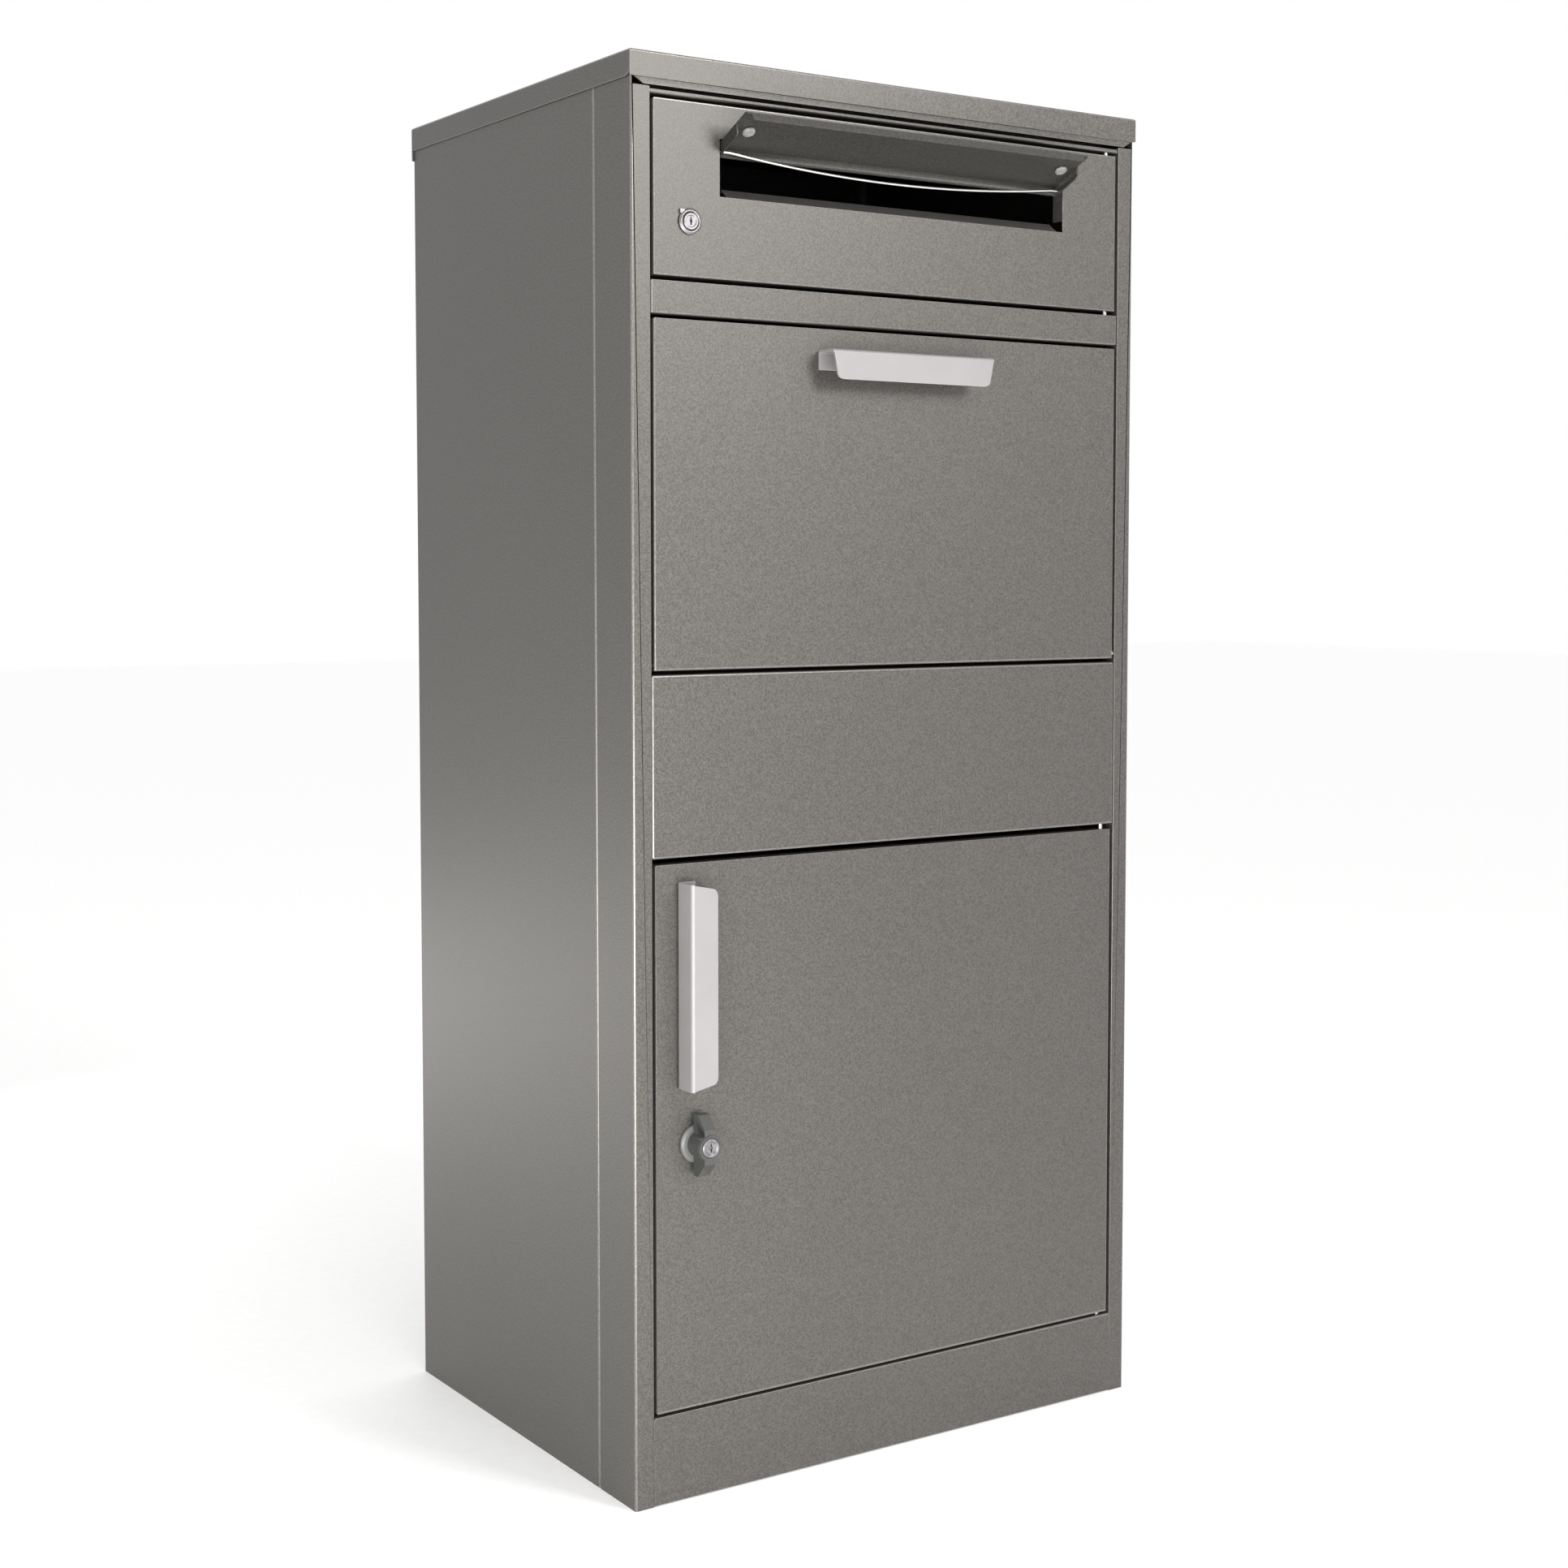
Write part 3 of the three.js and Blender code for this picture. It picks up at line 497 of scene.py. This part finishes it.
# What is left of a square corner once it is rounded, as a prism along X.
def cornerCutter(x0, x1, y, z, radius):
    line = [(y - mm, z - mm), (y + radius, z - mm), (y + radius, z)]
    for i in range(capLook["steps"] + 1):
        angle = math.pi * 1.5 - math.pi / 2 * i / capLook["steps"]
        line.append((y + radius + radius * math.cos(angle), z + radius + radius * math.sin(angle)))
    line.append((y - mm, z + radius))
    bm = bmesh.new()
    ends = [[bm.verts.new((x, a, b)) for a, b in line] for x in (x0, x1)]
    bm.faces.new(ends[0])
    bm.faces.new(ends[1])
    for i in range(len(line)):
        j = (i + 1) % len(line)
        bm.faces.new((ends[0][i], ends[0][j], ends[1][j], ends[1][i]))
    return finishMesh("cornerCutter", bm)


# The lid: its side rims stop just short of the front rim, with their lower corners rounded off.
def topCap():
    low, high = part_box("top_cap")
    sheet, slit = capLook["sheet"] * mm, capLook["slit"] * mm
    rimEnd = high.z - capLook["rim"] * mm
    y = low.y + sheet
    cutters = []
    for outer, inner in ((low.x - mm, low.x + sheet), (high.x + mm, high.x - sheet)):
        x0, x1 = sorted((outer, inner))
        slitTop = high.z - capLook["slitTop"] * mm
        cutters.append(blockMesh("slit", (x0, y, rimEnd - mm), (x1, y + slit, slitTop)))
        cutters.append(cornerCutter(x0, x1, y + slit, rimEnd, capLook["corner"] * mm))
    foldedPiece("topCap", "top_cap", "cabinet", "greyCoat", cutters=cutters)


topCap()
print("stage: carcass")

# ---- doors, hopper and flap ----
foldedPiece("letterDoor", "letter_door", "letter_door", "greyCoat")
foldedPiece("parcelDoor", "parcel_door", "parcel_hopper", "greyCoat")
foldedPiece("retrievalDoor", "retrieval_door", "retrieval_door", "greyCoat")
# the hopper's tray and cheeks take the darker inner coat: painted shade inside the opening
foldedPiece("hopperTray", "hopper_tray", "parcel_hopper", "innerShadeCoat", 1.2)
foldedPiece("hopperCheekLeft", "hopper_cheek_left", "parcel_hopper", "innerShadeCoat", 1.2)
foldedPiece("hopperCheekRight", "hopper_cheek_right", "parcel_hopper", "innerShadeCoat", 1.2)
# the flap wears the darker coat: painted shade on its underside
foldedPiece("letterFlap", "letter_flap", "letter_flap", "flapShadeCoat", 1.2, 0.22)
print("stage: doors")

# ---- hinge pins and screws ----
fittingLook = {"round": 0.5, "cutEdge": 0.3}
pinLook = {"rod": 2.0, "head": 2.8, "thick": 1.7, "tip": 0.5, "rim": 0.7, "crown": 0.9, "shortest": 0.3}


# A plated pin, screw, nut or cam: finer edges than the sheet pieces.
def smallFitting(name, node, body):
    foldedPiece(name, node, body, "zincSteel", fittingLook["round"], fittingLook["cutEdge"])


# headStart: distance from the pin's low end to its rivet head.
def hingePin(name, node, body, axis, headStart):
    low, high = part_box(node)
    middle = (low + high) / 2
    index = "xyz".index(axis)
    length = (high[index] - low[index]) / mm
    start, end = -length / 2, length / 2
    headLow = start + headStart
    headHigh = headLow + pinLook["thick"]
    rod, head, tip = pinLook["rod"], pinLook["head"], pinLook["tip"]
    line = [(start, 0), (start, rod - tip), (start + tip, rod)]
    line += [(headLow, rod), (headLow, head), (headHigh - pinLook["rim"], head)]
    line += [(headHigh, head - pinLook["crown"])]
    if end - headHigh > pinLook["shortest"]:
        line += [(headHigh, rod), (end - tip, rod), (end, rod - tip), (end, 0)]
    else:
        line += [(headHigh, 0)]
    mesh = turnedMesh(name, axis, middle, line, segments=40)
    piece = addPiece(name, mesh, body, "zincSteel", [node])
    roundEdges(piece, 0.2, 2)


hingePin("letterPinTop", "letter_pin_top", "cabinet", "z", 8.2)
hingePin("letterPinBottom", "letter_pin_bottom", "cabinet", "z", 0.8)
hingePin("retrievalPinTop", "retrieval_pin_top", "cabinet", "z", 9.9)
hingePin("retrievalPinBottom", "retrieval_pin_bottom", "cabinet", "z", 0.8)
for side in ("left", "right"):
    word = side.title()
    smallFitting(f"parcelPin{word}", f"parcel_pin_{side}", "cabinet")
    smallFitting(f"baffleScrew{word}", f"baffle_screw_{side}", "cabinet")
    smallFitting(f"parcelScrew{word}", f"parcel_handle_screw_{side}", "parcel_hopper")
for end in ("top", "bottom"):
    smallFitting(f"retrievalScrew{end.title()}", f"retrieval_handle_screw_{end}", "retrieval_door")
print("stage: pins and screws")

# ---- bent pulls ----
pullLook = {"bend": 2.6, "wall": 2.0, "leg": 14.1, "slant": 3.5, "cornerTop": 16.5, "corner": 5.5,
            "across": 20, "steps": 8}


# Drawn lying along X: the leg against the door, the web on top, the slanted face hanging in front.
def pullMesh(name, length, reach, face):
    steps = pullLook["steps"]
    line = filletLine([(0, -pullLook["leg"]), (0, 0), (-reach, 0), (-reach, -face)], pullLook["bend"], steps)
    cornerStart = -pullLook["cornerTop"]
    stations = line[:-1]
    stations += [Vector((-reach, -face + (face + cornerStart) * (1 - t / steps))) for t in range(steps + 1)]
    bm = bmesh.new()
    rows = []
    for y, z in stations:
        half = length / 2
        if y < -reach + 1e-6:
            half -= pullLook["slant"] * min(1, z / cornerStart)
            deep = max(0, (cornerStart - z) / (face + cornerStart))
            half -= pullLook["corner"] * (1 - math.sqrt(max(0, 1 - deep * deep)))
        rows.append([bm.verts.new((half * (-1 + 2 * i / pullLook["across"]) * mm, y * mm, z * mm))
                     for i in range(pullLook["across"] + 1)])
    for first, second in zip(rows, rows[1:]):
        for i in range(pullLook["across"]):
            bm.faces.new((first[i], first[i + 1], second[i + 1], second[i]))
    return finishMesh(name, bm)


def bentPull(name, node, body, upright):
    low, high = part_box(node)
    size = (high - low) / mm
    length, face = (size.z, size.x) if upright else (size.x, size.z)
    mesh = pullMesh(name, length, size.y, face)
    middle = (low + high) / 2
    if upright:  # the web turns to the left
        mesh.transform(Matrix(((0, 0, -1, low.x), (0, 1, 0, high.y), (1, 0, 0, middle.z), (0, 0, 0, 1))))
    else:
        mesh.transform(Matrix.Translation((middle.x, high.y, high.z)))
    piece = addPiece(name, mesh, body, "whiteCoat", [node])
    solid = piece.modifiers.new("wall", "SOLIDIFY")
    solid.thickness = pullLook["wall"] * mm
    solid.use_even_offset = True
    roundEdges(piece, 0.45, 3)


bentPull("parcelPull", "parcel_handle", "parcel_hopper", False)
bentPull("retrievalPull", "retrieval_handle", "retrieval_door", True)
print("stage: pulls")


# ---- letter lock ----
letterLockLook = {
    "flange": 9.0, "flangeDeep": 2.0, "chamfer": (0.9, 1.3), "barrel": 8.0, "bore": 6.3, "lead": 0.6,
    "plug": 6.0, "dish": 0.5, "tab": 3.6, "tabInset": 0.7, "tabFront": 0.6,
    "keyway": (0.5, 2.6, 3.0), "ward": (1.0, 0.9, 2.4),
}


# The two cutters of a keyhole, each given as half width, half height and depth in millimetres.
def keyholeCutters(look, x, front, z):
    cutters = []
    for name in ("keyway", "ward"):
        half, tall, deep = (value * mm for value in look[name])
        cutters.append(blockMesh(name, (x - half, front - mm, z - tall), (x + half, front + deep, z + tall)))
    return cutters


def letterLock():
    low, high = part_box("letter_lock_housing")
    middle = (low + high) / 2
    front, back = low.y / mm, high.y / mm
    flange, barrel, bore = letterLockLook["flange"], letterLockLook["barrel"], letterLockLook["bore"]
    flangeBack = front + letterLockLook["flangeDeep"]
    deep, drop = letterLockLook["chamfer"]
    lead = letterLockLook["lead"]
    ring = [(front, bore + lead), (front, flange - drop), (front + deep, flange), (flangeBack, flange),
            (flangeBack, barrel), (back, barrel), (back, bore), (front + lead, bore)]
    shell = turnedMesh("letterLockShell", "y", (middle.x, 0, middle.z), ring, True)
    tab, inset = letterLockLook["tab"] * mm, letterLockLook["tabInset"] * mm
    corner = blockMesh("lockTab", (low.x + inset, low.y + letterLockLook["tabFront"] * mm, high.z - tab),
                       (low.x + tab * 1.2, flangeBack * mm, high.z - inset))
    mesh = carvedMesh("letterLockHousing", shell, [corner], "UNION")
    piece = addPiece("letterLockHousing", mesh, "letter_door", "chrome", ["letter_lock_housing"])
    roundEdges(piece, 0.25, 3)
    low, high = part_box("letter_lock_plug")
    plug = letterLockLook["plug"]
    front, back = low.y / mm, high.y / mm
    dish = letterLockLook["dish"]
    line = [(front + dish, 0), (front + dish, plug - 2.2), (front, plug - 1.7), (front, plug - dish),
            (front + dish, plug), (back, plug), (back, 0)]
    core = turnedMesh("plugCore", "y", (middle.x, 0, middle.z), line)
    mesh = carvedMesh("letterLockPlug", core, keyholeCutters(letterLockLook, middle.x, low.y, middle.z))
    piece = addPiece("letterLockPlug", mesh, "letter_lock", "chrome", ["letter_lock_plug"])
    roundEdges(piece, 0.15, 2)


letterLock()
for pieceName, nodeName, bodyName in (
    ("letterLockNut", "letter_lock_nut", "letter_door"), ("letterCam", "letter_lock_cam", "letter_lock"),
    ("letterCamScrew", "letter_cam_screw", "letter_lock"), ("latchNut", "latch_nut", "retrieval_door"),
    ("latchCam", "latch_cam", "wing_latch"), ("latchCamScrew", "latch_cam_screw", "wing_latch"),
    ("knobSpindle", "knob_spindle", "wing_latch"),
):
    smallFitting(pieceName, nodeName, bodyName)
print("stage: letter lock")


# ---- flap wire and bumpers ----
wireLook = {"radius": 1.0, "sides": 20, "count": 96, "bearing": 10.0, "slotHalf": 156.0}


# The hinge wire: straight where it bears in the door, bowed down between.
def hingeWire():
    low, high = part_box("flap_hinge_wire")
    radius = wireLook["radius"] * mm
    level = high.z - radius
    y = (low.y + high.y) / 2
    bowHalf = (wireLook["slotHalf"] - wireLook["bearing"]) * mm
    drop = high.z - low.z - 2 * radius
    count, sides = wireLook["count"], wireLook["sides"]
    angles = [2 * math.pi * k / sides for k in range(sides)]
    bm = bmesh.new()
    circles = []
    for i in range(count + 1):
        x = low.x + (high.x - low.x) * i / count
        share = min(1, abs(x) / bowHalf)
        sag = drop * (1 - share * share)
        slope = 2 * drop * share / bowHalf * (1 if x > 0 else -1) if share < 1 else 0
        across = Vector((-slope, 0, 1)).normalized()
        centre = Vector((x, y, level - sag))
        circles.append([bm.verts.new(centre + (Vector((0, 1, 0)) * math.cos(a) + across * math.sin(a)) * radius)
                        for a in angles])
    for first, second in zip(circles, circles[1:]):
        for k in range(sides):
            bm.faces.new((first[k], first[(k + 1) % sides], second[(k + 1) % sides], second[k]))
    bm.faces.new(circles[0])
    bm.faces.new(circles[-1])
    piece = addPiece("flapWire", finishMesh("flapWire", bm), "letter_door", "brightWire", ["flap_hinge_wire"])
    roundEdges(piece, 0.25, 2)


bumperLook = {"radius": 5.0, "height": 2.4, "taper": 0.86, "edge": 0.9, "raise": 25.0}


# A clear stick-on dome on the flap's underside.
def flapBumper(side):
    node = f"flap_bumper_{side}"
    low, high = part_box(node)
    radius, height = bumperLook["radius"], bumperLook["height"]
    half = height / 2
    outline = [(-half, 0), (-half, radius * bumperLook["taper"]), (half, radius), (half, 0)]
    line = filletLine(outline, bumperLook["edge"], 5)
    mesh = turnedMesh(f"bumper{side.title()}", "z", (0, 0, 0), line, segments=48)
    turn = Matrix.Rotation(-math.radians(bumperLook["raise"]), 4, "X")
    mesh.transform(Matrix.Translation((low + high) / 2) @ turn)
    piece = addPiece(f"bumper{side.title()}", mesh, "letter_flap", "softPad", [node])
    roundEdges(piece, 0.2, 2)


hingeWire()
flapBumper("left")
flapBumper("right")
print("stage: flap fittings")

# ---- wing latch ----
roseLook = {"rose": 14.0, "roseDeep": 3.5, "chamfer": (1.4, 1.6), "barrel": 10.0, "bore": 4.3}
knobLook = {
    "wing": 22.0, "shoulder": 12.0, "half": 4.6, "tip": 6.0, "soften": 0.9, "boss": 9.5, "collar": 8.8,
    "collarProud": 0.8, "keyBore": 7.3, "keyDeep": 8.7, "spindleBore": 4.3,
}


def latchRose():
    low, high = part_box("latch_housing")
    middle = (low + high) / 2
    front, back = low.y / mm, high.y / mm
    rose, barrel, bore = roseLook["rose"], roseLook["barrel"], roseLook["bore"]
    roseBack = front + roseLook["roseDeep"]
    deep, drop = roseLook["chamfer"]
    ring = [(front, bore), (front, rose - drop), (front + deep, rose), (roseBack, rose), (roseBack, barrel),
            (back, barrel), (back, bore)]
    mesh = turnedMesh("latchRose", "y", (middle.x, 0, middle.z), ring, True)
    piece = addPiece("latchRose", mesh, "retrieval_door", "roseCoat", ["latch_housing"])
    roundEdges(piece, 0.4, 3)


def wingKnob():
    low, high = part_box("wing_knob")
    middle = (low + high) / 2
    front, back = low.y / mm, high.y / mm
    face = front + knobLook["collarProud"]  # the collar stands in front of the wings
    wing, shoulder, half = knobLook["wing"], knobLook["shoulder"], knobLook["half"]
    tipFront = back - knobLook["tip"]
    outline = [(back, 0), (back, wing), (tipFront, wing), (face, shoulder), (face, -shoulder),
               (tipFront, -wing), (back, -wing), (back, 0)]
    line = filletLine(outline, knobLook["soften"], 4)[:-1]
    bm = bmesh.new()
    sheets = [[bm.verts.new((middle.x + side * half * mm, y * mm, middle.z + z * mm)) for y, z in line]
              for side in (-1, 1)]
    bm.faces.new(sheets[0])
    bm.faces.new(sheets[1])
    for i in range(len(line)):
        j = (i + 1) % len(line)
        bm.faces.new((sheets[0][i], sheets[0][j], sheets[1][j], sheets[1][i]))
    wings = finishMesh("wings", bm)
    centre = (middle.x, 0, middle.z)
    bossR, collarR = knobLook["boss"], knobLook["collar"]
    boss = turnedMesh("boss", "y", centre, [(face, 0), (face, bossR), (back, bossR), (back, 0)])
    collar = turnedMesh("collar", "y", centre,
                        [(front, 0), (front, collarR), (back - 1, collarR), (back - 1, 0)])
    joined = carvedMesh("knobBody", wings, [boss, collar], "UNION")
    floorY = face + knobLook["keyDeep"]
    keyR, spindleR = knobLook["keyBore"], knobLook["spindleBore"]
    bore = turnedMesh("keyBore", "y", centre, [(front - 2, 0), (front - 2, keyR), (floorY, keyR), (floorY, 0)])
    spindle = turnedMesh("spindleBore", "y", centre,
                         [(floorY - 1, 0), (floorY - 1, spindleR), (back + 2, spindleR), (back + 2, 0)])
    mesh = carvedMesh("wingKnob", joined, [bore, spindle])
    piece = addPiece("wingKnob", mesh, "wing_latch", "knobCoat", ["wing_knob"])
    roundEdges(piece, 0.6, 3)


cylinderLook = {"radius": 7.0, "dish": 0.7, "rim": 0.8, "keyway": (0.6, 2.8, 3.0), "ward": (1.1, 1.0, 2.5)}


def keyCylinder():
    low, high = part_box("key_cylinder")
    middle = (low + high) / 2
    front, back = low.y / mm, high.y / mm
    radius, dish, rim = cylinderLook["radius"], cylinderLook["dish"], cylinderLook["rim"]
    line = [(front + dish, 0), (front + dish, 4.2), (front + 0.2, 4.6), (front, 5.0), (front, radius - rim),
            (front + rim, radius), (back, radius), (back, 0)]
    core = turnedMesh("keyCore", "y", (middle.x, 0, middle.z), line)
    mesh = carvedMesh("keyCylinder", core, keyholeCutters(cylinderLook, middle.x, low.y, middle.z))
    piece = addPiece("keyCylinder", mesh, "key_cylinder", "chrome", ["key_cylinder"])
    roundEdges(piece, 0.18, 2)


latchRose()
wingKnob()
keyCylinder()
print("stage: wing latch")
